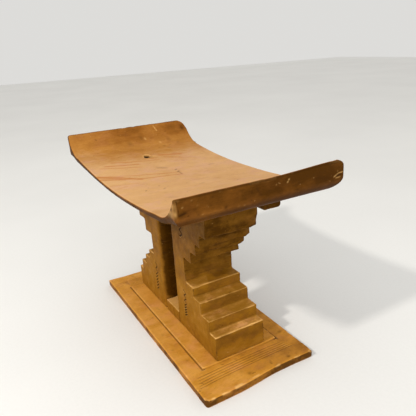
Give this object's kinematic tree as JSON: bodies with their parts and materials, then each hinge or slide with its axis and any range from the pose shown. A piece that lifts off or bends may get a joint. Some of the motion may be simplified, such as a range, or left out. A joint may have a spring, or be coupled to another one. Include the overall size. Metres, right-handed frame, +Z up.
{
  "type": "headrest",
  "caption": "Carved wooden headrest: a dished rectangular seat with upturned ends on two stepped pillars, over a flat rectangular base slab.",
  "frame": {"origin": "centre of the base slab's underside, which is the bottom centre of the whole object's box", "axes": "+X along the seat towards its near end, +Y across the seat towards the side that carries the lug, +Z up"},
  "size_m": [0.258, 0.1332, 0.1712],
  "materials": {
    "seat_wood": "worn, hand rubbed",
    "pillar_wood": "worn, waxed",
    "base_wood": "worn, waxed",
    "peg_wood": "plain"
  },
  "bodies": {
    "root": {"seat": "seat_wood", "near_pillar": "pillar_wood", "far_pillar": "pillar_wood", "sill": "pillar_wood", "base": "base_wood", "lug": "pillar_wood", "lug_peg": "peg_wood"}
  },
  "joints": []
}
